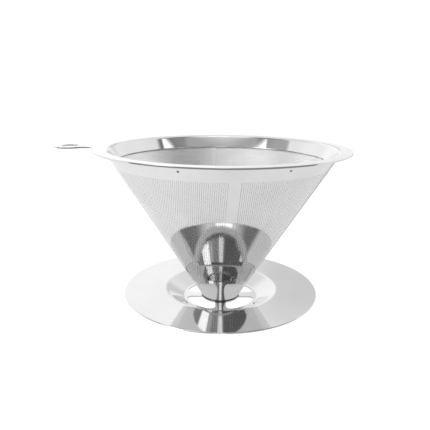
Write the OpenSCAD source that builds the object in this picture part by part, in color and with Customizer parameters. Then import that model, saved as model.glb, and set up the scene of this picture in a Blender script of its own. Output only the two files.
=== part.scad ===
// Pour over coffee dripper: a double cone filter of slotted sheet and woven
// mesh, hung from a flat rim with a hanging tab, on a pressed cup stand.
// Millimetres, +Z up. Z = 0 is the underside of the stand's hub, and the cone's
// axis is the Z axis. The tab points to -X and the front is -Y.

/* [Filter cone] */
// Height from the underside of the hub to the top of the rim
total_h = 79.6; // [76:0.2:82]
// Angle between the cone's wall and its axis
half_angle = 31.5; // [31:0.1:32]
// Outside radius of the cone at its tip
tip_r = 9.74; // [9.5:0.02:9.9]
// Thickness of the slotted outer sheet
outer_t = 0.3; // [0.2:0.05:0.4]
// Thickness of the woven mesh
mesh_t = 0.2; // [0.15:0.05:0.25]
// Turn of the solid front strip about the axis, from the front towards +X
strip_turn = 5; // [0:1:20]

/* [Rim] */
// Outside diameter of the flat rim
rim_d = 125; // [124:1:130]
// Gauge of the rim pressing
rim_t = 0.8; // [0.6:0.1:1]
// Depth of the collar inside the cone, from the top of the rim
collar_depth = 6.7; // [5:0.1:9]
// Bend radius between rim and collar, at the middle of the sheet
collar_bend = 2.2; // [1.5:0.1:2.5]

/* [Hanging tab] */
// Distance of the tab's hole from the axis
tab_reach = 75; // [73:0.5:76]
// Radius of the tab's round end
tab_r = 8; // [7:0.5:9]
// Diameter of the hanging hole
hole_d = 8; // [6:0.5:9]
// Radius of the fillets between tab and rim
tab_fillet = 5; // [3:0.5:8]

/* [Cup stand] */
// Outside diameter of the disc
disc_d = 100.2; // [96:0.2:110]
// Gauge of the stand pressing
stand_t = 0.8; // [0.6:0.1:1]
// Height of the disc's underside above the hub's underside
dish_depth = 4.6; // [4:0.1:6]
// Radius where the disc turns down into the dish
dish_r = 28.5; // [27:0.5:31]
// Radius where the dish meets the flat spider
floor_r = 19.7; // [19.4:0.1:20.6]
// Radius of the drip openings
opening_r = 18.2; // [17.8:0.1:18.6]
// Width of the four spokes
spoke_w = 5.4; // [4:0.2:7]
// Radius of the hub under the cone
hub_r = 9.6; // [9:0.1:10]
// Radius of the openings' outer corners
opening_corner = 2.6; // [2:0.1:3]

/* [Tip cap] */
// Radius of the cap's lip
cap_r = 10; // [9.9:0.1:10.4]
// Thickness of the cap's lip
cap_lip = 0.6; // [0.5:0.1:0.8]
// Gauge of the cap's inner cup
cup_t = 0.5; // [0.4:0.1:0.6]
// Height of the cup's wall above the lip
cup_h = 5; // [3:0.5:8]

/* [Welds] */
// Diameter of a spot weld on the solid band under the rim
rim_spot_d = 1.2; // [0.8:0.1:1.6]
// Distance of these spots below the top of the rim
rim_spot_drop = 3.3; // [2.5:0.1:4]
// Turn of these spots to either side of the front strip and of the seam
rim_spot_turn = 23.7; // [15:0.1:60]
// How far spots and the seam bead stand proud of the sheet
weld_proud = 0.12; // [0.08:0.02:0.2]
// Width of the outer sheet's seam bead
bead_w = 0.8; // [0.5:0.1:1.2]
// Width of the lap where the mesh's ends meet
lap_w = 3; // [2:0.2:4]
// Diameter of a spot weld on the floor of the cap
tip_spot_d = 2.2; // [1.6:0.2:2.6]
// Radius of the ring that these spots stand on
tip_spot_ring = 4.4; // [3.5:0.1:5]

/* [Hidden] */

$fn = 128;
bend_steps = 6;
rim_r = rim_d / 2;
rim_mid = total_h - rim_t / 2;
tip_z = stand_t + cap_lip;
collar_foot = total_h - collar_depth;
// Depth of each layer's outer face behind the cone's outer face
mesh_in = outer_t;
collar_in = outer_t + mesh_t;
// Height at which the collar's bend begins, where both filter layers end
bend_drop = collar_bend * tan((90 - half_angle) / 2) * cos(half_angle);
filter_top = rim_mid - bend_drop - 0.2;
disc_mid = dish_depth + stand_t / 2;
spoke_turns = [0, 90, 180, 270];
seam_turn = strip_turn + 180;
overlap = 0.5;

// Radius of the cone at height z, a depth behind its outer face
function wall_r(z, depth = 0) = tip_r + (z - tip_z) * tan(half_angle) - depth / cos(half_angle);

function unit(v) = v / norm(v);
function left_of(v) = [-v.y, v.x];
function turn_to(a, b) = let (d = b - a) d > 180 ? d - 360 : d < -180 ? d + 360 : d;

// Arc that rounds the corner b between a and c
function corner(a, b, c, r) =
    let (u = unit(a - b), v = unit(c - b),
         half = acos(u * v) / 2,
         centre = b + unit(u + v) * r / sin(half),
         first = b + u * r / tan(half) - centre,
         last = b + v * r / tan(half) - centre,
         start = atan2(first.y, first.x),
         turn = turn_to(start, atan2(last.y, last.x)))
    [for (i = [0:bend_steps])
        centre + r * [cos(start + turn * i / bend_steps), sin(start + turn * i / bend_steps)]];

// Path with each inner corner rounded to its own bend radius
function rounded(path, radii) = concat(
    [path[0]],
    [for (i = [1:len(path) - 2]) each corner(path[i - 1], path[i], path[i + 1], radii[i - 1])],
    [path[len(path) - 1]]);

// Offset of a path's point to its left, by the mitre of its two segments
function beside(path, i, d) =
    let (last = len(path) - 1,
         before = unit(path[max(i, 1)] - path[max(i, 1) - 1]),
         after = unit(path[min(i, last - 1) + 1] - path[min(i, last - 1)]),
         mid = unit(left_of(before) + left_of(after)))
    path[i] + mid * d / (mid * left_of(after));

// Section of a sheet of thickness t whose middle follows the path
module sheet_section(path, t) {
    last = len(path) - 1;
    polygon(concat(
        [for (i = [0:last]) beside(path, i, t / 2)],
        [for (i = [last:-1:0]) beside(path, i, -t / 2)]));
}

// Cone wall between two heights, from one depth behind the outer face to another
module cone_wall(z0, z1, depth0, depth1) {
    rotate_extrude()
        polygon([[wall_r(z0, depth1), z0], [wall_r(z0, depth0), z0],
                 [wall_r(z1, depth0), z1], [wall_r(z1, depth1), z1]]);
}

// Children on the cone's outer face at height z, their Z axis along its normal
module on_wall(z, turn) {
    rotate(turn)
        translate([0, -wall_r(z), z])
            rotate([90 + half_angle, 0, 0])
                children();
}

// A vertical slab that cuts a strip of constant width out of one side of the cone
module strip_slab(width, turn) {
    rotate(turn)
        translate([-width / 2, -rim_r, 0])
            cube([width, rim_r, total_h]);
}

// Plan of the rim and its tab
module rim_plan() {
    ring = rim_r + tab_fillet;
    reach = tab_r + tab_fillet;
    fx = (tab_reach ^ 2 + ring ^ 2 - reach ^ 2) / (2 * tab_reach);
    fy = sqrt(ring ^ 2 - fx ^ 2);
    fillet = [-fx, fy];
    on_rim = fillet * rim_r / ring;
    on_tab = [-tab_reach, 0] + (fillet + [tab_reach, 0]) * tab_r / reach;
    half_neck = [[0, 0], on_rim, fillet, on_tab, [-tab_reach, 0]];
    circle(rim_r, $fn = 256);
    translate([-tab_reach, 0])
        circle(tab_r);
    for (side = [0, 1])
        mirror([0, side])
            difference() {
                polygon(half_neck);
                translate(fillet)
                    circle(tab_fillet);
            }
}

module rim_collar() {
    corner_r = wall_r(rim_mid, collar_in + rim_t / 2);
    flat_from = corner_r + collar_bend;
    color("gainsboro")
        union() {
            translate([0, 0, total_h - rim_t])
                linear_extrude(rim_t)
                    difference() {
                        rim_plan();
                        circle(flat_from, $fn = 256);
                        translate([-tab_reach, 0])
                            circle(d = hole_d);
                    }
            rotate_extrude($fn = 256)
                sheet_section(rounded([
                    [wall_r(collar_foot, collar_in + rim_t / 2), collar_foot],
                    [corner_r, rim_mid],
                    [flat_from + overlap, rim_mid]], [collar_bend]), rim_t);
        }
}

module outer_cone() {
    color("silver")
        cone_wall(tip_z, filter_top, 0, outer_t);
}

module inner_mesh() {
    color("darkgray")
        cone_wall(tip_z, filter_top, mesh_in, mesh_in + mesh_t);
}

module tip_cap() {
    color("gray")
        union() {
            translate([0, 0, stand_t])
                cylinder(h = cap_lip, r = cap_r);
            cone_wall(tip_z - overlap, tip_z + cup_h, collar_in, collar_in + cup_t);
        }
}

// One quarter opening between two spokes, with its outer corners rounded
module drip_opening() {
    side = spoke_w / 2;
    c = opening_corner;
    along = sqrt((opening_r - c) ^ 2 - (side + c) ^ 2);
    centre = [side + c, along];
    on_circle = centre * opening_r / (opening_r - c);
    difference() {
        intersection() {
            circle(opening_r);
            translate([side, side])
                square(opening_r);
        }
        circle(hub_r);
        for (flip = [0, 1])
            mirror([flip, -flip])
                polygon([centre, [side - overlap, along], [side - overlap, opening_r + overlap],
                         on_circle * (1 + overlap / opening_r)]);
    }
    for (flip = [0, 1])
        mirror([flip, -flip])
            translate(centre)
                circle(c);
}

module cup_stand() {
    mid = stand_t / 2;
    color("lightgray")
        difference() {
            rotate_extrude($fn = 256)
                sheet_section(rounded([
                    [0, mid], [floor_r, mid], [dish_r, disc_mid], [disc_d / 2, disc_mid]],
                    [2.5, 6]), stand_t);
            for (turn = spoke_turns)
                rotate(turn)
                    translate([0, 0, -overlap])
                        linear_extrude(stand_t + 2 * overlap)
                            drip_opening();
        }
}

module outer_seam_weld() {
    color("dimgray")
        intersection() {
            cone_wall(tip_z, filter_top, -weld_proud, 0);
            strip_slab(bead_w, seam_turn);
        }
}

module mesh_lap_seam() {
    color("gray")
        intersection() {
            cone_wall(tip_z + cup_h, collar_foot, collar_in, collar_in + mesh_t);
            strip_slab(lap_w, seam_turn);
        }
}

module rim_spot_welds() {
    color("dimgray")
        for (middle = [strip_turn, seam_turn], side = [-1, 1])
            on_wall(total_h - rim_spot_drop, middle + side * rim_spot_turn)
                cylinder(h = weld_proud, d = rim_spot_d);
}

module tip_spot_welds() {
    color("dimgray")
        for (turn = spoke_turns)
            rotate(turn + strip_turn)
                translate([0, -tip_spot_ring, tip_z])
                    cylinder(h = weld_proud, d = tip_spot_d);
}

rim_collar();
outer_cone();
inner_mesh();
tip_cap();
cup_stand();
outer_seam_weld();
mesh_lap_seam();
rim_spot_welds();
tip_spot_welds();
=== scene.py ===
from math import acos, atan2, ceil, cos, pi, radians, sin, sqrt, tan

import bmesh
import bpy
import numpy as np
from mathutils import Matrix, Vector
from mathutils.geometry import tessellate_polygon


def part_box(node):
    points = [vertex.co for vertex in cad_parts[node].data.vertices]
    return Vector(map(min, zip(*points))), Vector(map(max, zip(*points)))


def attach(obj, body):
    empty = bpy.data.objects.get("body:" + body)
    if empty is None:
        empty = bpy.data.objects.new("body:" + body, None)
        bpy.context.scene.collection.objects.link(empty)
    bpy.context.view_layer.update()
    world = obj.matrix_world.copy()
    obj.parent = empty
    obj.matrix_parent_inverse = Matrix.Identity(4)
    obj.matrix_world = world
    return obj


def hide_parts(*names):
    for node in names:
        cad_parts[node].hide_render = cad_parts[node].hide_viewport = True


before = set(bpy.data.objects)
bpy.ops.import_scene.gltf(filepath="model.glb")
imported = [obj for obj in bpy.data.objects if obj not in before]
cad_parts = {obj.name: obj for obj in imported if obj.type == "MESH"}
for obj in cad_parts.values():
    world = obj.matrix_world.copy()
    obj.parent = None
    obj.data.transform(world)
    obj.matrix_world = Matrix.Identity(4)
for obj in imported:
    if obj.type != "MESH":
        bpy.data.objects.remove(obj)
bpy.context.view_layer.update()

# ---------------------------------------------------------------- sizes, in metres
MM = 0.001
BODY = "root"

rim_low, rim_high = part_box("rim_collar")
stand_low, stand_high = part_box("cup_stand")
cone_low, cone_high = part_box("outer_cone")
cap_low, cap_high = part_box("tip_cap")
lap_low, lap_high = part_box("mesh_lap_seam")

HALF_ANGLE = radians(31.5)
STRIP_TURN = radians(5)
SEAM_TURN = STRIP_TURN + pi
SHEET_T = 0.3 * MM
MESH_T = 0.2 * MM
TIP_R = 9.74 * MM
TIP_Z = cone_low.z
FILTER_TOP = cone_high.z

RIM_R = rim_high.x
RIM_TOP = rim_high.z
RIM_T = 0.8 * MM
COLLAR_FOOT = rim_low.z
COLLAR_BEND = 2.2 * MM
TAB_R = 8 * MM
TAB_REACH = -rim_low.x - TAB_R
TAB_HOLE_R = 4 * MM
TAB_FILLET = 5 * MM

DISC_R = stand_high.x
DISC_TOP = stand_high.z
STAND_T = 0.8 * MM
DISH_R = 28.5 * MM
FLOOR_R = 19.7 * MM
FLOOR_BEND = 2.5 * MM
DISH_BEND = 6 * MM
OPENING_R = 18.2 * MM
OPENING_CORNER = 2.6 * MM
HUB_CORNER = 1.2 * MM
SPOKE_W = 5.4 * MM
HUB_R = 9.6 * MM

CAP_R = 10.0 * MM
CUP_T = 0.5 * MM

WELD_PROUD = 0.12 * MM
WELD_ROOT = 0.05 * MM    # how far a weld's mesh reaches into the sheet under it
BEAD_W = 0.8 * MM
LAP_W = 3 * MM
RIM_SPOT_D = 1.2 * MM
RIM_SPOT_DROP = 3.3 * MM
RIM_SPOT_TURN = radians(23.7)
TIP_SPOT_D = 2.2 * MM
TIP_SPOT_RING = 4.4 * MM

STRIP_W = 5.2 * MM
SEAM_MARGIN = 1.5 * MM
SLOTS_FROM = 11.6 * MM
SLOTS_TO = 72.4 * MM
COLUMN_PITCH = 0.867 * MM
ROW_PITCH = 2.2 * MM
SLOT_W = 0.11 * MM
SLOT_L = 1.94 * MM
SLOT_CORNER = 0.32       # radius of a slot's corners, as a share of its width
BRIDGE = 0.3 * MM
WALL_EASE = 3.0          # how far the shading of a slot's walls leans to the cone's own
FACE_LIMIT = 0.8         # cosine above which a face is one of the sheet's two faces

ROUND_STEPS = 288
BEND_STEPS = 8
LIP = 0.15 * MM          # radius of the pressings' soft edges
LIP_STEPS = 4
MERGE_GAP = 0.001 * MM   # points nearer than this are one point


def wall_r(z, depth=0.0):
    """Radius of the cone at height z, a depth behind its outer face."""
    return TIP_R + (z - TIP_Z) * tan(HALF_ANGLE) - depth / cos(HALF_ANGLE)


APEX_Z = TIP_Z - TIP_R / tan(HALF_ANGLE)


def slant(z):
    """Distance along the wall from the cone's apex to height z."""
    return (z - APEX_Z) / cos(HALF_ANGLE)


# ---------------------------------------------------------------- outlines
def arc(centre, radius, start, end, steps):
    """Points from one angle to another, both included."""
    return [(centre[0] + radius * cos(start + (end - start) * i / steps),
             centre[1] + radius * sin(start + (end - start) * i / steps)) for i in range(steps + 1)]


def rounded(path, radii, steps=BEND_STEPS):
    """The path with an arc in place of each inner corner."""
    points = [path[0]]
    for before, at, after, radius in zip(path, path[1:], path[2:], radii):
        at = Vector(at)
        u = (Vector(before) - at).normalized()
        v = (Vector(after) - at).normalized()
        half = acos(u.dot(v)) / 2
        centre = at + (u + v).normalized() * radius / sin(half)
        first = at + u * radius / tan(half) - centre
        last = at + v * radius / tan(half) - centre
        start = atan2(first.y, first.x)
        turn = (atan2(last.y, last.x) - start + pi) % (2 * pi) - pi
        points += arc(centre, radius, start, start + turn, steps)
    return points + [path[-1]]


def beside(path, distance):
    """The path moved to its left, each point by the mitre of its two segments."""
    moved = []
    for i, at in enumerate(path):
        at = Vector(at)
        before = (at - Vector(path[i - 1])).normalized() if i else None
        after = (Vector(path[i + 1]) - at).normalized() if i + 1 < len(path) else before
        before = before or after
        left = Vector((-after.y, after.x))
        mitre = (left + Vector((-before.y, before.x))).normalized()
        moved.append(tuple(at + mitre * distance / mitre.dot(left)))
    return moved


def round_sheet_end(path, thickness):
    """Both sides of a sheet whose middle follows the path, joined by a round edge at the path's end."""
    end, near = Vector(path[-1]), Vector(path[-2])
    along = (end - near).normalized()
    stop = end - along * thickness / 2
    middle = path[:-1] + [tuple(stop)]
    left, right = beside(middle, thickness / 2), beside(middle, -thickness / 2)
    facing = atan2(along.y, along.x)
    nose = arc(stop, thickness / 2, facing + pi / 2, facing - pi / 2, 2 * LIP_STEPS)
    return left[:-1] + nose + right[:-1][::-1]


def circle(radius, steps=ROUND_STEPS):
    return arc((0, 0), radius, 0, 2 * pi, steps)[:-1]


# ---------------------------------------------------------------- meshes
def new_piece(name, mesh):
    piece = bpy.data.objects.new(name, mesh)
    bpy.context.scene.collection.objects.link(piece)
    return piece


def finished_mesh(bm, name, sharp=radians(50)):
    """Merges what meets, turns every face outwards and shades the result smooth."""
    bmesh.ops.remove_doubles(bm, verts=bm.verts, dist=1e-7)
    bmesh.ops.recalc_face_normals(bm, faces=bm.faces)
    mesh = bpy.data.meshes.new(name)
    bm.to_mesh(mesh)
    bm.free()
    mesh.shade_smooth()
    mesh.set_sharp_from_angle(angle=sharp)
    return mesh


def spin(bm, profile, steps=ROUND_STEPS):
    """Turns a profile of (radius, height) points round the Z axis. A point on the axis is one vertex."""
    rings = []
    for radius, height in profile:
        if radius < 1e-9:
            rings.append([bm.verts.new((0, 0, height))] * steps)
        else:
            turns = [2 * pi * i / steps for i in range(steps)]
            rings.append([bm.verts.new((radius * cos(a), radius * sin(a), height)) for a in turns])
    for low, high in zip(rings, rings[1:]):
        for i in range(steps):
            j = (i + 1) % steps
            corners = dict.fromkeys((low[i], low[j], high[j], high[i]))
            if len(corners) > 2:
                bm.faces.new(corners)
    return rings


def inset(outline, distance, hole):
    """A closed outline moved into the material: inwards on an outer edge, outwards on a hole."""
    side = -1 if hole else 1
    moved = []
    for i, at in enumerate(outline):
        before, after = Vector(outline[i - 1]), Vector(outline[(i + 1) % len(outline)])
        along = (after - before).normalized()
        moved.append((at[0] - along.y * distance * side, at[1] + along.x * distance * side))
    return moved


def soft_edge(bm, outline, low, high, hole):
    """The rounded edge of a flat sheet along a closed outline. Gives the outlines of its two faces."""
    quarter = [pi / 2 * i / LIP_STEPS for i in range(LIP_STEPS + 1)]
    rows = [(LIP * (1 - sin(a)), high - LIP * (1 - cos(a))) for a in quarter]
    rows += [(LIP * (1 - sin(a)), low + LIP * (1 - cos(a))) for a in reversed(quarter)]
    rings = [[bm.verts.new((x, y, height)) for x, y in inset(outline, depth, hole)]
             for depth, height in rows]
    count = len(outline)
    for upper, under in zip(rings, rings[1:]):
        for i in range(count):
            j = (i + 1) % count
            bm.faces.new((upper[i], upper[j], under[j], under[i]))
    return [v.co.copy() for v in rings[0]], [v.co.copy() for v in rings[-1]]


def flat_face(bm, loops):
    """Fills the flat area between an outer loop and the loops inside it."""
    points = [p for loop in loops for p in loop]
    verts = [bm.verts.new(p) for p in points]
    for a, b, c in tessellate_polygon(loops):
        bm.faces.new((verts[a], verts[b], verts[c]))


def at_height(outline, height):
    return [Vector((x, y, height)) for x, y in outline]


def weigh_normals(piece):
    """Wide flat faces set the shading of the narrow bends beside them, as on a real pressing."""
    modifier = piece.modifiers.new("weighted_normals", "WEIGHTED_NORMAL")
    modifier.mode = "FACE_AREA_WITH_ANGLE"
    modifier.weight = 100
    modifier.keep_sharp = True


def cone_normals(mesh):
    """Gives the cone's true normal to every corner on its two faces, and eases those of the slots' walls."""
    count = len(mesh.vertices)
    at = np.empty(count * 3)
    mesh.vertices.foreach_get("co", at)
    at = at.reshape(-1, 3)
    radius = np.maximum(np.hypot(at[:, 0], at[:, 1]), 1e-9)
    out = np.column_stack((at[:, 0] / radius * cos(HALF_ANGLE), at[:, 1] / radius * cos(HALF_ANGLE),
                           np.full(count, -sin(HALF_ANGLE))))
    corner = np.empty(len(mesh.loops), int)
    mesh.loops.foreach_get("vertex_index", corner)
    sizes = np.empty(len(mesh.polygons), int)
    mesh.polygons.foreach_get("loop_total", sizes)
    flat = np.empty(len(mesh.polygons) * 3)
    mesh.polygons.foreach_get("normal", flat)
    flat = np.repeat(flat.reshape(-1, 3), sizes, axis=0)
    smooth = out[corner]
    facing = np.sum(smooth * flat, axis=1)[:, None]
    eased = flat + smooth * WALL_EASE
    eased /= np.linalg.norm(eased, axis=1)[:, None]
    normals = np.where(np.abs(facing) > FACE_LIMIT, smooth * np.sign(facing), eased)
    mesh.shade_smooth()
    mesh.normals_split_custom_set(normals.tolist())


# ---------------------------------------------------------------- node trees
def put(tree, slot, value):
    """Links a socket or a Field to a slot, or sets the slot's own value."""
    if isinstance(value, Field):
        value = value.socket
    if isinstance(value, bpy.types.NodeSocket):
        tree.links.new(value, slot)
    elif value is not None:
        slot.default_value = value


def add_node(tree, kind, values=None, **settings):
    node = tree.nodes.new(kind)
    for name, setting in settings.items():
        setattr(node, name, setting)
    for name, value in (values or {}).items():
        put(tree, node.inputs[name], value)
    return node


class Field:
    """A number in a node tree, so that a formula in a tree reads as a formula."""

    def __init__(self, tree, socket):
        self.tree, self.socket = tree, socket

    def math(self, operation, *others):
        node = add_node(self.tree, "ShaderNodeMath", operation=operation)
        for slot, value in zip(node.inputs, (self, *others)):
            put(self.tree, slot, value)
        return Field(self.tree, node.outputs[0])

    def __add__(self, other):
        return self.math("ADD", other)

    def __sub__(self, other):
        return self.math("SUBTRACT", other)

    def __mul__(self, other):
        return self.math("MULTIPLY", other)

    def __truediv__(self, other):
        return self.math("DIVIDE", other)

    def __neg__(self):
        return self.math("MULTIPLY", -1.0)

    def floor(self):
        return self.math("FLOOR")

    def sqrt(self):
        return self.math("MAXIMUM", 0.0).math("SQRT")

    def sin(self):
        return self.math("SINE")

    def cos(self):
        return self.math("COSINE")

    def ramp(self, low, high):
        """0 at low, 1 at high, smooth between them."""
        node = add_node(self.tree, "ShaderNodeMapRange", {"Value": self, "From Min": low, "From Max": high},
                        interpolation_type="SMOOTHSTEP")
        return Field(self.tree, node.outputs[0])


def vector(tree, x, y, z):
    return add_node(tree, "ShaderNodeCombineXYZ", {"X": x, "Y": y, "Z": z}).outputs[0]


def parts_of(tree, socket):
    node = add_node(tree, "ShaderNodeSeparateXYZ", {"Vector": socket})
    return [Field(tree, out) for out in node.outputs]


def stored_value(tree, name, kind):
    """Reads a value that an earlier node stored on each point."""
    return add_node(tree, "GeometryNodeInputNamedAttribute", {"Name": name}, data_type=kind).outputs[0]


def store_value(tree, geometry, name, value, kind):
    return add_node(tree, "GeometryNodeStoreNamedAttribute",
                    {"Geometry": geometry, "Name": name, "Value": value},
                    data_type=kind, domain="POINT").outputs[0]


def unit_grid(tree, across, along):
    node = add_node(tree, "GeometryNodeMeshGrid",
                    {"Size X": 1.0, "Size Y": 1.0, "Vertices X": across, "Vertices Y": along})
    return node.outputs["Mesh"]


def geometry_tree(name, numbers, counts=()):
    """An empty geometry tree with a Material input, one named input per size and a geometry output."""
    tree = bpy.data.node_groups.new(name, "GeometryNodeTree")
    tree.interface.new_socket("Geometry", in_out="OUTPUT", socket_type="NodeSocketGeometry")
    for size in numbers:
        tree.interface.new_socket(size, in_out="INPUT", socket_type="NodeSocketFloat")
    for count in counts:
        tree.interface.new_socket(count, in_out="INPUT", socket_type="NodeSocketInt")
    tree.interface.new_socket("Part", in_out="INPUT", socket_type="NodeSocketObject")
    tree.interface.new_socket("Material", in_out="INPUT", socket_type="NodeSocketMaterial")
    source = tree.nodes.new("NodeGroupInput")
    sink = tree.nodes.new("NodeGroupOutput")
    given = {out.name: Field(tree, out) for out in source.outputs if out.name}
    return tree, given, sink


def close_tree(tree, geometry, given, sink):
    """Realizes what the tree made, gives it its material and sends it out."""
    real = add_node(tree, "GeometryNodeRealizeInstances", {"Geometry": geometry})
    done = add_node(tree, "GeometryNodeSetMaterial",
                    {"Geometry": real.outputs[0], "Material": given["Material"]})
    put(tree, sink.inputs[0], done.outputs[0])


def grow(name, tree, values):
    """Runs a geometry tree with the given inputs and keeps the result as a plain mesh."""
    maker = new_piece(name + "_maker", bpy.data.meshes.new(name + "_seed"))
    modifier = maker.modifiers.new("grow", "NODES")
    modifier.node_group = tree
    for item in tree.interface.items_tree:
        if item.item_type == "SOCKET" and item.in_out == "INPUT" and item.name in values:
            modifier[item.identifier] = values[item.name]
    graph = bpy.context.evaluated_depsgraph_get()
    mesh = bpy.data.meshes.new_from_object(maker.evaluated_get(graph), depsgraph=graph)
    mesh.name = name
    maker.modifiers.clear()
    bpy.data.objects.remove(maker)
    return mesh


# The cone's sheets are cut flat and then rolled. In the flat sheet the apex is the origin, the
# front strip runs down -Y, and a point at slant distance s and sheet angle a is (s sin a, -s cos a).
SHEET_SIZES = ("Tip radius", "Top radius", "Slots from", "Slots to", "Seam angle", "Strip half width",
               "Seam margin", "Column start", "Column pitch", "Row pitch", "Slot width", "Slot length",
               "Bridge", "Thickness", "Half angle", "Strip turn", "Apex height", "Side")


def rolled(tree, geometry, given):
    """Rolls a flat sheet into the cone. Its Z is the height over the cone's outer face."""
    x, y, z = parts_of(tree, add_node(tree, "GeometryNodeInputPosition").outputs[0])
    s = (x * x + y * y).sqrt()
    turn = x.math("ARCTAN2", -y) / given["Half angle"].sin() * given["Side"] + given["Strip turn"]
    radius = s * given["Half angle"].sin() + z * given["Half angle"].cos()
    height = given["Apex height"] + s * given["Half angle"].cos() - z * given["Half angle"].sin()
    place = vector(tree, radius * turn.sin(), -(radius * turn.cos()), height)
    return add_node(tree, "GeometryNodeSetPosition", {"Geometry": geometry, "Position": place}).outputs[0]


def slotted_sheet_tree():
    """Half of the slotted sheet: flat columns with staggered slots, filled, thickened and rolled."""
    tree, given, sink = geometry_tree("slotted_sheet", SHEET_SIZES, ("Steps across", "Steps along"))
    position = add_node(tree, "GeometryNodeInputPosition").outputs[0]
    index = Field(tree, add_node(tree, "GeometryNodeInputIndex").outputs[0])
    pitch, half_slot = given["Column pitch"], given["Slot width"] * 0.5
    columns = ((given["Top radius"] - given["Column start"]) / pitch).math("CEIL")
    tilt = given["Seam angle"] - pi / 2
    column_id = stored_value(tree, "column", "INT")

    # Plain outline of each column, from the sheet's top edge to its tip edge or its seam
    line = add_node(tree, "GeometryNodeMeshLine", {"Count": columns, "Offset": (0.0, 0.0, 0.0)})
    strip_line = store_value(tree, line.outputs[0], "column", index, "INT")
    unit = unit_grid(tree, given["Steps across"], given["Steps along"])
    blanks = add_node(tree, "GeometryNodeInstanceOnPoints", {"Points": strip_line, "Instance": unit})
    loose = add_node(tree, "GeometryNodeRealizeInstances", {"Geometry": blanks.outputs[0]})
    px, py, _ = parts_of(tree, position)
    across, along = px + 0.5, py + 0.5
    edge_x = Field(tree, column_id) * pitch + given["Column start"]
    from_x = edge_x.math("MAXIMUM", 0.0)
    to_x = (edge_x + pitch).math("MINIMUM", given["Top radius"])

    def arc_point(radius):
        """A point of the column's end on an arc of the sheet, spaced evenly by angle."""
        first = (from_x / radius).math("MINIMUM", 1.0).math("ARCSINE")
        last = (to_x / radius).math("MINIMUM", 1.0).math("ARCSINE")
        angle = first + (last - first) * across
        return radius * angle.sin(), -(radius * angle.cos())

    top_x, top_y = arc_point(given["Top radius"])
    tip_x, tip_y = arc_point(given["Tip radius"])
    past_tip = from_x.math("GREATER_THAN", given["Tip radius"] - pitch * 0.5)
    on_tip = -past_tip + 1.0
    seam_x = from_x + (to_x - from_x) * across
    end_x = tip_x * on_tip + seam_x * past_tip
    end_y = tip_y * on_tip + seam_x * tilt.math("TANGENT") * past_tip
    spread = vector(tree, top_x + (end_x - top_x) * along, top_y + (end_y - top_y) * along, 0.0)
    shaped = add_node(tree, "GeometryNodeSetPosition", {"Geometry": loose.outputs[0], "Position": spread})
    edge_faces = add_node(tree, "GeometryNodeInputMeshEdgeNeighbors").outputs[0]
    on_edge = Field(tree, edge_faces).math("LESS_THAN", 1.5)
    outlines = add_node(tree, "GeometryNodeMeshToCurve", {"Mesh": shaped.outputs[0], "Selection": on_edge})

    # Centre and length of each slot, trimmed to the slotted area
    rows = (given["Top radius"] * 1.15 / given["Row pitch"]).math("CEIL")
    centres = unit_grid(tree, columns, rows)
    column = (index / rows).floor()
    row = index - column * rows
    x = (column + 0.5) * pitch + given["Column start"]
    y = (row + column.math("MODULO", 2.0) * 0.5) * given["Row pitch"] - given["Top radius"]
    near, far = x - half_slot, x + half_slot
    slots_from = given["Slots from"] + given["Bridge"]
    slots_to = given["Slots to"] - given["Bridge"]
    bottom = -(slots_to * slots_to - far * far).sqrt()
    arc_top = -(slots_from * slots_from - near * near).sqrt()
    seam_top = near * tilt.math("TANGENT") - (given["Seam margin"] + given["Bridge"]) / tilt.cos()
    past_arc = near.math("GREATER_THAN", slots_from)
    top = arc_top * (-past_arc + 1.0) + seam_top * past_arc
    low = (y - given["Slot length"] * 0.5).math("MAXIMUM", bottom)
    high = (y + given["Slot length"] * 0.5).math("MINIMUM", top)
    too_short = (high - low).math("LESS_THAN", given["Slot width"] * 2.0)
    beyond = far.math("GREATER_THAN", slots_to * 0.999)
    in_strip = near.math("LESS_THAN", given["Strip half width"] - pitch * 0.1)
    left_out = too_short.math("MAXIMUM", beyond).math("MAXIMUM", in_strip)
    stored = store_value(tree, centres, "slot_length", high - low, "FLOAT")
    stored = store_value(tree, stored, "left_out", left_out, "FLOAT")
    stored = store_value(tree, stored, "column", column, "INT")
    middle = vector(tree, x, (low + high) * 0.5, 0.0)
    placed = add_node(tree, "GeometryNodeSetPosition", {"Geometry": stored, "Position": middle})
    waste = Field(tree, stored_value(tree, "left_out", "FLOAT")).math("GREATER_THAN", 0.5)
    kept = add_node(tree, "GeometryNodeDeleteGeometry",
                    {"Geometry": placed.outputs[0], "Selection": waste}, domain="POINT")
    length = stored_value(tree, "slot_length", "FLOAT")
    unit_slot = add_node(tree, "GeometryNodeCurvePrimitiveQuadrilateral", {"Width": 1.0, "Height": 1.0})
    slots = add_node(tree, "GeometryNodeInstanceOnPoints",
                     {"Points": kept.outputs[0], "Instance": unit_slot.outputs[0],
                      "Scale": vector(tree, given["Slot width"], length, 1.0)})
    cut = add_node(tree, "GeometryNodeRealizeInstances", {"Geometry": slots.outputs[0]})
    corner_r = given["Slot width"] * SLOT_CORNER
    eased = add_node(tree, "GeometryNodeFilletCurve",
                     {"Curve": cut.outputs[0], "Count": 1, "Radius": corner_r}, mode="POLY")

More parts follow.
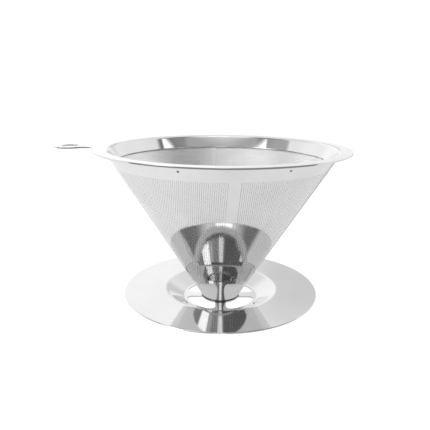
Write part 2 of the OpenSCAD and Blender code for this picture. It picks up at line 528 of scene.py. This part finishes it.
    # Each column is filled round its own slots, and the columns are joined into one sheet
    drawing = add_node(tree, "GeometryNodeJoinGeometry")
    put(tree, drawing.inputs[0], outlines.outputs[0])
    put(tree, drawing.inputs[0], eased.outputs[0])
    filled = add_node(tree, "GeometryNodeFillCurve",
                      {"Curve": drawing.outputs[0], "Group ID": column_id}, mode="TRIANGLES")
    one = add_node(tree, "GeometryNodeMergeByDistance",
                   {"Geometry": filled.outputs[0], "Distance": MERGE_GAP})
    inwards = vector(tree, 0.0, 0.0, -given["Thickness"])
    raised = add_node(tree, "GeometryNodeExtrudeMesh",
                      {"Mesh": one.outputs[0], "Offset": inwards, "Offset Scale": 1.0, "Individual": False})
    under = add_node(tree, "GeometryNodeFlipFaces", {"Mesh": raised.outputs["Mesh"]})
    sheet = add_node(tree, "GeometryNodeJoinGeometry")
    put(tree, sheet.inputs[0], under.outputs[0])
    put(tree, sheet.inputs[0], one.outputs[0])
    closed = add_node(tree, "GeometryNodeMergeByDistance",
                      {"Geometry": sheet.outputs[0], "Distance": MERGE_GAP})
    close_tree(tree, rolled(tree, closed.outputs[0], given), given, sink)
    return tree


def spot_tree():
    """Spots in pairs, to either side of a first direction and of the one opposite, each lying on a slope."""
    tree, given, sink = geometry_tree(
        "paired_spots", ("Ring radius", "Height", "Slope", "First turn", "Pair turn"), ("Count",))
    line = add_node(tree, "GeometryNodeMeshLine", {"Count": given["Count"], "Offset": (0.0, 0.0, 0.0)})
    index = Field(tree, add_node(tree, "GeometryNodeInputIndex").outputs[0])
    pair = (index * 0.5).floor()
    side = index.math("MODULO", 2.0) * 2.0 - 1.0
    turn = given["First turn"] + pair * pi + side * given["Pair turn"]
    ring = given["Ring radius"]
    place = vector(tree, ring * turn.sin(), -(ring * turn.cos()), given["Height"])
    set_out = add_node(tree, "GeometryNodeSetPosition", {"Geometry": line.outputs[0], "Position": place})
    lean = vector(tree, given["Slope"], 0.0, turn)
    facing = add_node(tree, "FunctionNodeEulerToRotation", {"Euler": lean})
    spot = add_node(tree, "GeometryNodeObjectInfo", {"Object": given["Part"]})
    spots = add_node(tree, "GeometryNodeInstanceOnPoints",
                     {"Points": set_out.outputs[0], "Instance": spot.outputs["Geometry"],
                      "Rotation": facing.outputs[0]})
    close_tree(tree, spots.outputs[0], given, sink)
    return tree


def bead_tree():
    """A weld bead: overlapping ripples laid one after another up a slope, each a little different."""
    tree, given, sink = geometry_tree(
        "weld_bead", ("From radius", "From height", "Slope length", "Slope", "Turn", "Unevenness"),
        ("Count", "Seed"))
    line = add_node(tree, "GeometryNodeMeshLine", {"Count": given["Count"], "Offset": (0.0, 0.0, 0.0)})
    index = Field(tree, add_node(tree, "GeometryNodeInputIndex").outputs[0])
    run = given["Slope length"] * index / (given["Count"] - 1.0)
    radius = given["From radius"] + run * given["Slope"].sin()
    height = given["From height"] + run * given["Slope"].cos()
    place = vector(tree, radius * given["Turn"].sin(), -(radius * given["Turn"].cos()), height)
    set_out = add_node(tree, "GeometryNodeSetPosition", {"Geometry": line.outputs[0], "Position": place})
    lean = vector(tree, given["Slope"] + pi / 2, 0.0, given["Turn"])
    facing = add_node(tree, "FunctionNodeEulerToRotation", {"Euler": lean})
    low, high = -given["Unevenness"] + 1.0, given["Unevenness"] + 1.0
    size = add_node(tree, "FunctionNodeRandomValue", {2: low, 3: high, "Seed": given["Seed"]},
                    data_type="FLOAT")
    ripple = add_node(tree, "GeometryNodeObjectInfo", {"Object": given["Part"]})
    ripples = add_node(tree, "GeometryNodeInstanceOnPoints",
                       {"Points": set_out.outputs[0], "Instance": ripple.outputs["Geometry"],
                        "Rotation": facing.outputs[0], "Scale": size.outputs[1]})
    close_tree(tree, ripples.outputs[0], given, sink)
    return tree


# ---------------------------------------------------------------- shader groups
def shader_group(name, inputs, outputs):
    """An empty shader group with named inputs, each with its usual value, and named outputs."""
    tree = bpy.data.node_groups.new(name, "ShaderNodeTree")
    for label, value in inputs.items():
        kind = "NodeSocketVector" if isinstance(value, tuple) else "NodeSocketFloat"
        tree.interface.new_socket(label, in_out="INPUT", socket_type=kind).default_value = value
    for label in outputs:
        tree.interface.new_socket(label, in_out="OUTPUT", socket_type="NodeSocketFloat")
    source, sink = tree.nodes.new("NodeGroupInput"), tree.nodes.new("NodeGroupOutput")
    return tree, {out.name: Field(tree, out) for out in source.outputs if out.name}, sink


def noise(tree, at, scale, detail=2.0, roughness=0.5):
    node = add_node(tree, "ShaderNodeTexNoise",
                    {"Vector": at, "Scale": scale, "Detail": detail, "Roughness": roughness},
                    noise_type="FBM")
    return Field(tree, node.outputs[0])


def polish_group():
    """Buffed steel: slow waviness, fine marks that run round the axis, and soft smudges."""
    tree, given, sink = shader_group(
        "buffed_steel", {"Position": (0, 0, 0), "Wave size": 30 * MM, "Mark size": 0.4 * MM,
                         "Smudge size": 20 * MM}, ("Waves", "Marks", "Smudges"))
    x, y, z = parts_of(tree, given["Position"].socket)
    radius = (x * x + y * y).sqrt()
    turn = x.math("ARCTAN2", y)
    rings = vector(tree, (radius + z) / given["Mark size"], turn * 3.0, 0.0)
    waves, smudges = given["Wave size"].math("POWER", -1.0), given["Smudge size"].math("POWER", -1.0)
    put(tree, sink.inputs["Waves"], noise(tree, given["Position"], waves, 1.0))
    put(tree, sink.inputs["Marks"], noise(tree, rings, 1.0, 3.0, 0.7))
    put(tree, sink.inputs["Smudges"], noise(tree, given["Position"], smudges, 4.0, 0.6))
    return tree


def weave_group():
    """Plain weave on a flat sheet's own coordinates: wire height, where there is wire, and its variation."""
    tree, given, sink = shader_group("plain_weave", {"Sheet": (0, 0, 0), "Pitch": 0.4 * MM, "Wire": 0.62},
                                     ("Height", "Wires", "Variation"))
    x, y, _ = parts_of(tree, given["Sheet"].socket)
    u, v = x / given["Pitch"], y / given["Pitch"]
    parity = (u.floor() + v.floor()).math("MODULO", 2.0).math("ABSOLUTE") * 2.0 - 1.0
    across_u = ((u.math("FRACT") - 0.5).math("ABSOLUTE") * 2.0)
    across_v = ((v.math("FRACT") - 0.5).math("ABSOLUTE") * 2.0)
    warp = (-across_u * across_u + given["Wire"] * given["Wire"]).sqrt()
    weft = (-across_v * across_v + given["Wire"] * given["Wire"]).sqrt()
    rise = across_v.math("MULTIPLY", pi / 2).cos() * 0.35
    fall = across_u.math("MULTIPLY", pi / 2).cos() * 0.35
    height = (warp + rise * parity).math("MAXIMUM", weft - fall * parity)
    put(tree, sink.inputs["Height"], height)
    open_u = across_u.math("GREATER_THAN", given["Wire"])
    open_v = across_v.math("GREATER_THAN", given["Wire"])
    put(tree, sink.inputs["Wires"], -(open_u * open_v) + 1.0)
    put(tree, sink.inputs["Variation"], noise(tree, vector(tree, u.floor() * 0.37, v * 0.02, 0.0), 1.0, 1.0))
    return tree


# ---------------------------------------------------------------- materials
def new_material(name):
    material = bpy.data.materials.new(name)
    material.use_nodes = True
    tree = material.node_tree
    tree.nodes.clear()
    shader = add_node(tree, "ShaderNodeBsdfPrincipled")
    add_node(tree, "ShaderNodeOutputMaterial", {"Surface": shader.outputs[0]})
    return material, tree, shader


def use_group(tree, group, values):
    node = add_node(tree, "ShaderNodeGroup", node_tree=group)
    for name, value in values.items():
        put(tree, node.inputs[name], value)
    return {out.name: Field(tree, out) for out in node.outputs}


def tint(tree, amount, dark, light):
    """A colour between two, by an amount from 0 to 1. The node has its colours at sockets 6 and 7."""
    node = add_node(tree, "ShaderNodeMix", {0: amount, 6: (*dark, 1), 7: (*light, 1)}, data_type="RGBA")
    return node.outputs[2]


def bump(tree, height, strength, distance):
    node = add_node(tree, "ShaderNodeBump", {"Height": height, "Strength": strength, "Distance": distance})
    return node.outputs[0]


def object_position(tree):
    return add_node(tree, "ShaderNodeTexCoord").outputs["Object"]


def buffed_steel(name, dark, light, smooth, rough, wave, groups):
    """Polished sheet, from smooth to rough by its smudges. Wave is how far the face rolls."""
    material, tree, shader = new_material(name)
    steel = use_group(tree, groups["buffed_steel"], {"Position": object_position(tree)})
    put(tree, shader.inputs["Base Color"], tint(tree, steel["Smudges"].ramp(0.3, 0.7), dark, light))
    shader.inputs["Metallic"].default_value = 1.0
    put(tree, shader.inputs["Roughness"], steel["Smudges"].ramp(0.35, 0.75) * (rough - smooth) + smooth)
    height = steel["Waves"] * wave + steel["Marks"] * (0.002 * MM)
    put(tree, shader.inputs["Normal"], bump(tree, height, 1.0, 1.0))
    return material


def woven_wire(name, dark, light, rough, groups):
    """Fine plain weave, with the gaps between wires cut out."""
    material, tree, shader = new_material(name)
    sheet = add_node(tree, "ShaderNodeUVMap", uv_map="flat_sheet").outputs[0]
    weave = use_group(tree, groups["plain_weave"], {"Sheet": sheet})
    cloud = noise(tree, object_position(tree), 90.0, 3.0)
    amount = (weave["Variation"] * 0.5 + cloud * 0.5).ramp(0.3, 0.7)
    put(tree, shader.inputs["Base Color"], tint(tree, amount, dark, light))
    shader.inputs["Metallic"].default_value = 1.0
    put(tree, shader.inputs["Roughness"], cloud * 0.15 + rough)
    put(tree, shader.inputs["Alpha"], weave["Wires"])
    put(tree, shader.inputs["Normal"], bump(tree, weave["Height"], 0.5, 0.05 * MM))
    return material


def weld_metal(name, dark, light, rough):
    """Remelted steel: dull, darker, with fine grain and a heat tint."""
    material, tree, shader = new_material(name)
    at = object_position(tree)
    grain = noise(tree, at, 2500.0, 4.0, 0.6)
    patches = noise(tree, at, 400.0, 2.0)
    put(tree, shader.inputs["Base Color"], tint(tree, patches.ramp(0.3, 0.7), dark, light))
    shader.inputs["Metallic"].default_value = 1.0
    put(tree, shader.inputs["Roughness"], grain * 0.3 + rough)
    put(tree, shader.inputs["Normal"], bump(tree, grain, 0.4, 0.03 * MM))
    return material


groups = {"buffed_steel": polish_group(), "plain_weave": weave_group()}
RIM_STEEL = buffed_steel("polished_rim_steel", (0.72, 0.72, 0.725), (0.75, 0.75, 0.75),
                         0.04, 0.08, 0.15 * MM, groups)
STAND_STEEL = buffed_steel("polished_stand_steel", (0.70, 0.70, 0.705), (0.73, 0.73, 0.73),
                           0.03, 0.07, 0.02 * MM, groups)
# Painted shade: the cap's base colour is near black so that the shadowed gap under the cone reads as a dark
# line.
CAP_STEEL_PAINTED_SHADE = buffed_steel("pressed_cap_steel_painted_shade", (0.10, 0.10, 0.10), (0.18, 0.18, 0.18),
                         0.15, 0.30, 0.02 * MM, groups)
SHEET_STEEL = buffed_steel("etched_sheet_steel", (0.72, 0.72, 0.725), (0.77, 0.77, 0.77),
                           0.04, 0.08, 0.01 * MM, groups)
MESH_STEEL = woven_wire("woven_wire_steel", (0.85, 0.85, 0.855), (0.94, 0.94, 0.94), 0.30, groups)
WELD_STEEL = weld_metal("weld_steel", (0.30, 0.29, 0.28), (0.48, 0.47, 0.48), 0.35)


# ---------------------------------------------------------------- pieces
def hand_over(piece, material, node):
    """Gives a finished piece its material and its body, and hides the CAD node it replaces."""
    if material.name not in piece.data.materials:
        piece.data.materials.clear()
        piece.data.materials.append(material)
    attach(piece, BODY)
    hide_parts(node)
    return piece


def rim_outline():
    """Plan of the rim and its tab, anticlockwise from the fillet under the tab."""
    ring, reach = RIM_R + TAB_FILLET, TAB_R + TAB_FILLET
    fillet_x = (TAB_REACH ** 2 + ring ** 2 - reach ** 2) / (2 * TAB_REACH)
    fillet_y = sqrt(ring ** 2 - fillet_x ** 2)
    on_rim = atan2(fillet_y, -fillet_x)
    on_tab = atan2(fillet_y, TAB_REACH - fillet_x)
    rim = arc((0, 0), RIM_R, -on_rim, on_rim, ROUND_STEPS)
    upper = arc((-fillet_x, fillet_y), TAB_FILLET, on_rim - pi, on_tab - pi, 10)
    tab = arc((-TAB_REACH, 0), TAB_R, on_tab, 2 * pi - on_tab, 56)
    lower = [(x, -y) for x, y in reversed(upper)]
    return rim[:-1] + upper[:-1] + tab[:-1] + lower[:-1]


def make_rim():
    bm = bmesh.new()
    middle = RIM_TOP - RIM_T / 2
    depth = SHEET_T + MESH_T + RIM_T / 2
    corner_r = wall_r(middle, depth)
    flat_from = corner_r + COLLAR_BEND + 0.2 * MM
    foot = (wall_r(COLLAR_FOOT, depth), COLLAR_FOOT)
    path = rounded([(flat_from, middle), (corner_r, middle), foot], [COLLAR_BEND])
    spin(bm, round_sheet_end(path, RIM_T))
    hole = circle(TAB_HOLE_R, 48)
    hole = [(x - TAB_REACH, y) for x, y in hole]
    outer_top, outer_low = soft_edge(bm, rim_outline(), RIM_TOP - RIM_T, RIM_TOP, False)
    hole_top, hole_low = soft_edge(bm, hole, RIM_TOP - RIM_T, RIM_TOP, True)
    flat_face(bm, [outer_top, at_height(circle(flat_from), RIM_TOP), hole_top])
    flat_face(bm, [outer_low, at_height(circle(flat_from), RIM_TOP - RIM_T), hole_low])
    piece = new_piece("rim_pressing", finished_mesh(bm, "rim_pressing"))
    weigh_normals(piece)
    return hand_over(piece, RIM_STEEL, "rim_collar")


def opening_outline():
    """One drip opening, between the spokes that point to +X and +Y, anticlockwise."""
    side, c, q = SPOKE_W / 2, OPENING_CORNER, HUB_CORNER
    along = sqrt((OPENING_R - c) ** 2 - (side + c) ** 2)
    outer = atan2(side + c, along)
    near = sqrt((HUB_R + q) ** 2 - (side + q) ** 2)
    inner = atan2(side + q, near)
    points = arc((along, side + c), c, -pi / 2, outer, 10)
    points += arc((0, 0), OPENING_R, outer, pi / 2 - outer, 24)[1:]
    points += arc((side + c, along), c, pi / 2 - outer, pi, 10)[1:]
    points += arc((side + q, near), q, pi, 1.5 * pi - inner, 6)
    points += arc((0, 0), HUB_R, pi / 2 - inner, inner, 14)[1:]
    points += arc((near, side + q), q, pi + inner, 1.5 * pi, 6)[1:]
    return points


def make_stand():
    bm = bmesh.new()
    middle, disc_middle = STAND_T / 2, DISC_TOP - STAND_T / 2
    flat_to = OPENING_R + 2 * LIP
    path = rounded([(flat_to, middle), (FLOOR_R, middle), (DISH_R, disc_middle), (DISC_R, disc_middle)],
                   [FLOOR_BEND, DISH_BEND])
    spin(bm, round_sheet_end(path, STAND_T))
    tops, lows = [at_height(circle(flat_to), STAND_T)], [at_height(circle(flat_to), 0)]
    for quarter in range(4):
        turn = quarter * pi / 2
        outline = [(x * cos(turn) - y * sin(turn), x * sin(turn) + y * cos(turn))
                   for x, y in opening_outline()]
        top, low = soft_edge(bm, outline, 0, STAND_T, True)
        tops.append(top)
        lows.append(low)
    flat_face(bm, tops)
    flat_face(bm, lows)
    piece = new_piece("cup_stand_pressing", finished_mesh(bm, "cup_stand_pressing"))
    weigh_normals(piece)
    return hand_over(piece, STAND_STEEL, "cup_stand")


def make_tip_cap():
    bm = bmesh.new()
    depth, top = SHEET_T + MESH_T, cap_high.z
    outline = rounded([(0, cap_low.z), (CAP_R, cap_low.z), (CAP_R, TIP_Z), (wall_r(TIP_Z, depth), TIP_Z),
                       (wall_r(top, depth), top), (wall_r(top, depth + CUP_T), top),
                       (wall_r(TIP_Z, depth + CUP_T), TIP_Z), (0, TIP_Z)],
                      [0.25 * MM, 0.25 * MM, 0.1 * MM, 0.2 * MM, 0.2 * MM, 1.2 * MM], 5)
    spin(bm, outline, 128)
    piece = new_piece("tip_cap_pressing", finished_mesh(bm, "tip_cap_pressing"))
    weigh_normals(piece)
    return hand_over(piece, CAP_STEEL_PAINTED_SHADE, "tip_cap")


def make_slotted_sheet(tree, name, side):
    half_strip, half_slot = STRIP_W / 2, SLOT_W / 2
    first = half_strip + half_slot - COLUMN_PITCH / 2
    mesh = grow(name, tree, {
        "Tip radius": slant(TIP_Z), "Top radius": slant(FILTER_TOP), "Slots from": slant(SLOTS_FROM),
        "Slots to": slant(SLOTS_TO), "Seam angle": pi * sin(HALF_ANGLE), "Strip half width": half_strip,
        "Seam margin": SEAM_MARGIN, "Column start": first - ceil(first / COLUMN_PITCH) * COLUMN_PITCH,
        "Column pitch": COLUMN_PITCH, "Row pitch": ROW_PITCH, "Slot width": SLOT_W, "Slot length": SLOT_L,
        "Bridge": BRIDGE, "Thickness": SHEET_T, "Half angle": HALF_ANGLE, "Strip turn": STRIP_TURN,
        "Apex height": APEX_Z, "Side": side, "Steps across": 5, "Steps along": 80, "Material": SHEET_STEEL})
    if side < 0:
        mesh.flip_normals()
    cone_normals(mesh)
    return hand_over(new_piece(name, mesh), SHEET_STEEL, "outer_cone")


def rolled_shell(name, z_low, z_high, depth, thickness, turn_from, turn_to, steps, rows, closed):
    """A plain rolled sheet, with the flat sheet's own coordinates as its UV map."""
    bm = bmesh.new()
    uv = bm.loops.layers.uv.new("flat_sheet")
    faces = []

    def corner_at(i, j, layer):
        z = z_low + (z_high - z_low) * j / rows
        turn = turn_from + (turn_to - turn_from) * i / steps
        radius = wall_r(z, depth + thickness * layer)
        angle = (turn - STRIP_TURN) * sin(HALF_ANGLE)
        s = slant(z)
        return Vector((radius * sin(turn), -radius * cos(turn), z)), (s * sin(angle), -s * cos(angle))

    def add_face(corners):
        made = [corner_at(*c) for c in corners]
        face = bm.faces.new([bm.verts.new(p) for p, _ in made])
        for loop, (_, flat) in zip(face.loops, made):
            loop[uv].uv = flat
        faces.append(face)

    for i in range(steps):
        for j in range(rows):
            add_face([(i, j, 0), (i + 1, j, 0), (i + 1, j + 1, 0), (i, j + 1, 0)])
            add_face([(i, j + 1, 1), (i + 1, j + 1, 1), (i + 1, j, 1), (i, j, 1)])
        add_face([(i, 0, 1), (i + 1, 0, 1), (i + 1, 0, 0), (i, 0, 0)])
        add_face([(i, rows, 0), (i + 1, rows, 0), (i + 1, rows, 1), (i, rows, 1)])
    if not closed:
        for j in range(rows):
            add_face([(0, j, 1), (0, j, 0), (0, j + 1, 0), (0, j + 1, 1)])
            add_face([(steps, j, 0), (steps, j, 1), (steps, j + 1, 1), (steps, j + 1, 0)])
    mesh = finished_mesh(bm, name)
    cone_normals(mesh)
    return new_piece(name, mesh)


def make_woven_cone():
    piece = rolled_shell("woven_cone", TIP_Z, FILTER_TOP, SHEET_T, MESH_T, STRIP_TURN - pi, STRIP_TURN + pi,
                         ROUND_STEPS, 48, True)
    return hand_over(piece, MESH_STEEL, "inner_mesh")


def make_lap():
    """The mesh's lapped seam: a narrow strip of constant width, folded over along the far wall."""
    bm = bmesh.new()
    uv = bm.loops.layers.uv.new("flat_sheet")
    rows, columns = 90, 8
    grid = {}
    for j in range(rows + 1):
        z = lap_low.z + (lap_high.z - lap_low.z) * j / rows
        for i in range(columns + 1):
            x = LAP_W * (i / columns - 0.5)
            for layer in (0, 1):
                radius = wall_r(z, SHEET_T + MESH_T + MESH_T * layer)
                y = -sqrt(radius ** 2 - x ** 2)
                turned = Matrix.Rotation(SEAM_TURN, 3, "Z") @ Vector((x, y, z))
                grid[i, j, layer] = (bm.verts.new(turned), (x, slant(z)))

    def add_face(*corners):
        face = bm.faces.new([grid[c][0] for c in corners])
        for loop, c in zip(face.loops, corners):
            loop[uv].uv = grid[c][1]

    for j in range(rows):
        for i in range(columns):
            add_face((i, j, 0), (i + 1, j, 0), (i + 1, j + 1, 0), (i, j + 1, 0))
            add_face((i, j + 1, 1), (i + 1, j + 1, 1), (i + 1, j, 1), (i, j, 1))
        add_face((0, j, 1), (0, j, 0), (0, j + 1, 0), (0, j + 1, 1))
        add_face((columns, j, 0), (columns, j, 1), (columns, j + 1, 1), (columns, j + 1, 0))
    for i in range(columns):
        add_face((i, 0, 1), (i + 1, 0, 1), (i + 1, 0, 0), (i, 0, 0))
        add_face((i, rows, 0), (i + 1, rows, 0), (i + 1, rows, 1), (i, rows, 1))
    mesh = finished_mesh(bm, "lap_seam")
    cone_normals(mesh)
    return hand_over(new_piece("lap_seam", mesh), MESH_STEEL, "mesh_lap_seam")


def small_part(name, profile, steps):
    """A little turned shape for a tree to repeat. It is removed once the tree has run."""
    bm = bmesh.new()
    spin(bm, profile, steps)
    return new_piece(name, finished_mesh(bm, name))


def make_spots(tree, name, diameter, node, values):
    """Resistance welds: a pressed dimple in a low burr."""
    r, proud = diameter / 2, WELD_PROUD
    profile = [(0, -WELD_ROOT), (r, -WELD_ROOT), (r, 0.02 * MM), (0.88 * r, 0.8 * proud), (0.76 * r, proud),
               (0.6 * r, 0.7 * proud), (0.35 * r, 0.15 * proud), (0, 0.05 * proud)]
    spot = small_part(name + "_part", profile, 24)
    mesh = grow(name, tree, {**values, "Part": spot, "Count": 4, "Material": WELD_STEEL})
    bpy.data.objects.remove(spot)
    return hand_over(new_piece(name, mesh), WELD_STEEL, node)


def make_bead(tree):
    """The outer sheet's seam weld, a row of ripples."""
    r, proud = BEAD_W / 2, WELD_PROUD
    profile = [(0, -WELD_ROOT), (r, -WELD_ROOT), (0.95 * r, 0.3 * proud), (0.7 * r, 0.75 * proud),
               (0.35 * r, 0.95 * proud), (0, proud)]
    ripple = small_part("ripple_part", profile, 14)
    run = slant(FILTER_TOP) - slant(TIP_Z) - 2 * r
    mesh = grow("seam_bead", tree, {
        "From radius": wall_r(TIP_Z + r), "From height": TIP_Z + r, "Slope length": run,
        "Slope": HALF_ANGLE, "Turn": SEAM_TURN, "Unevenness": 0.12, "Count": 210, "Seed": 4,
        "Part": ripple, "Material": WELD_STEEL})
    bpy.data.objects.remove(ripple)
    return hand_over(new_piece("seam_bead", mesh), WELD_STEEL, "outer_seam_weld")


make_rim()
make_stand()
make_tip_cap()
sheet_tree = slotted_sheet_tree()
make_slotted_sheet(sheet_tree, "slotted_sheet_right", 1.0)
make_slotted_sheet(sheet_tree, "slotted_sheet_left", -1.0)
make_woven_cone()
make_lap()
make_bead(bead_tree())
spots = spot_tree()
spot_height = RIM_TOP - RIM_SPOT_DROP
make_spots(spots, "rim_spots", RIM_SPOT_D, "rim_spot_welds", {
    "Ring radius": wall_r(spot_height), "Height": spot_height, "Slope": pi / 2 + HALF_ANGLE,
    "First turn": STRIP_TURN, "Pair turn": RIM_SPOT_TURN})
make_spots(spots, "tip_spots", TIP_SPOT_D, "tip_spot_welds", {
    "Ring radius": TIP_SPOT_RING, "Height": TIP_Z, "Slope": 0.0,
    "First turn": STRIP_TURN + pi / 4, "Pair turn": pi / 4})


# ---------------------------------------------------------------- floor, light and camera
TENT = [
    # from turn, to turn, from height, to height and blur, all in degrees, and the light
    (-200, -100, 38, 62, 8, 0.95),
    (95, 200, 38, 62, 8, 0.95),
    (-97, 91, -5, 57, 3, 0.50),
    (-112, -55, 50, 73, 5, 0.28),
    (55, 104, 50, 73, 5, 0.28),
    (10, 92, -5, 49, 4, 0.22),
    (-40, 25, -5, 19, 3, 0.15),
    (-68, -40, -5, 46, 3, 2.6),
    (-40, -28, 20, 44, 4, 0.9),
    (-8, 6, 19, 46, 1.5, 1.6),
    (-25, 45, 77, 81, 1.2, 2.6),
    (-67, -46, 40, 50.5, 1.5, 2.1),
    (71, 86, 42.5, 46, 1.5, 1.8),
    (-200, -150, 8, 36, 6, 1.21),
    (158, 175, 10, 28, 4, 0.80),
]


def make_floor():
    """A white light table: the camera sees it plain white with hardly a shadow, while its glow seen in
    reflections carries painted light and shade.
    """
    bm = bmesh.new()
    bmesh.ops.create_circle(bm, cap_ends=True, segments=96, radius=4.0)
    mesh = bpy.data.meshes.new("floor")
    bm.to_mesh(mesh)
    bm.free()
    mesh.transform(Matrix.Translation((0, 0, -0.02 * MM)))
    floor = new_piece("floor", mesh)
    material, tree, shader = new_material("floor_white_painted_shade")
    shader.inputs["Base Color"].default_value = (0.2, 0.2, 0.2, 1)
    shader.inputs["Roughness"].default_value = 0.9
    shader.inputs["Specular IOR Level"].default_value = 0.0
    shader.inputs["Emission Color"].default_value = (1, 1, 1, 1)
    x, y, _ = parts_of(tree, object_position(tree))
    # Painted light and shade in the glow that reflections see: dimmer towards the right, and much darker on
    # the camera side, in front of y = -90 mm.
    painted_floor_light = (-x.ramp(-60 * MM, 10 * MM) * 0.09 + 0.84) * (y.ramp(-130 * MM, -90 * MM) * 0.85 + 0.15)
    # Painted shadow of the object: the glow is dimmer within about 55 mm of the axis.
    painted_floor_light = painted_floor_light * ((x * x + y * y).sqrt().ramp(25 * MM, 55 * MM) * 0.22 + 0.78)
    turn = x.math("ARCTAN2", -y)
    # Painted shade behind on the right, between 125 and 155 degrees of turn.
    painted_floor_light = painted_floor_light * (-turn.ramp(radians(125), radians(155)) * 0.6 + 1.0)
    seen = Field(tree, add_node(tree, "ShaderNodeLightPath").outputs["Is Camera Ray"])
    # The camera sees full white; every other ray sees the painted light and shade.
    put(tree, shader.inputs["Emission Strength"], painted_floor_light.math("MAXIMUM", seen))
    mesh.materials.append(material)


def make_world():
    """A white tent round the back and the sides, open in front to a dark room with a window on the left."""
    world = bpy.data.worlds.new("studio")
    bpy.context.scene.world = world
    world.use_nodes = True
    tree = world.node_tree
    tree.nodes.clear()
    x, y, z = parts_of(tree, add_node(tree, "ShaderNodeTexCoord").outputs["Generated"])
    rise = z.math("ARCSINE")
    turn = x.math("ARCTAN2", -y)

    def step(angle, at, blur):
        return angle.ramp(radians(at - blur), radians(at + blur))

    def patch(left, right, low, high, blur):
        """1 inside a soft edged rectangle of the surround, 0 outside. Turns are from the camera's side."""
        across = step(turn, left, blur) * -(step(turn, right, blur) - 1.0)
        up = step(rise, low, blur) * -(step(rise, high, blur) - 1.0)
        return across * up

    level = x.ramp(-0.4, 0.6) * -0.12 + 1.14
    for left, right, low, high, blur, light in TENT:
        level = level + patch(left, right, low, high, blur) * (-level + light)
    surround = add_node(tree, "ShaderNodeBackground", {"Color": (1, 1, 1, 1), "Strength": level})
    plain = add_node(tree, "ShaderNodeBackground", {"Color": (1, 1, 1, 1), "Strength": 1.05})
    seen = add_node(tree, "ShaderNodeLightPath").outputs["Is Camera Ray"]
    mix = add_node(tree, "ShaderNodeMixShader", {0: seen, 1: surround.outputs[0], 2: plain.outputs[0]})
    add_node(tree, "ShaderNodeOutputWorld", {"Surface": mix.outputs[0]})


def make_camera():
    """The viewing angle: from the front, above the rim, a little to the left of the axis."""
    data = bpy.data.cameras.new("camera")
    camera = bpy.data.objects.new("camera", data)
    bpy.context.scene.collection.objects.link(camera)
    pitch, roll = radians(15.30), radians(0.533)
    ahead = Vector((0, cos(pitch), -sin(pitch)))
    up = Vector((-sin(roll), sin(pitch) * cos(roll), cos(pitch) * cos(roll)))
    right = ahead.cross(up).normalized()
    up = right.cross(ahead)
    turned = Matrix((right, up, -ahead)).transposed().to_4x4()
    camera.matrix_world = Matrix.Translation((-3.25 * MM, -235.3 * MM, 109.0 * MM)) @ turned
    data.sensor_width = 36.0
    data.lens = 39.85
    data.clip_start = 0.01
    bpy.context.scene.camera = camera


make_floor()
make_world()
make_camera()
bpy.context.scene.view_settings.view_transform = "Standard"
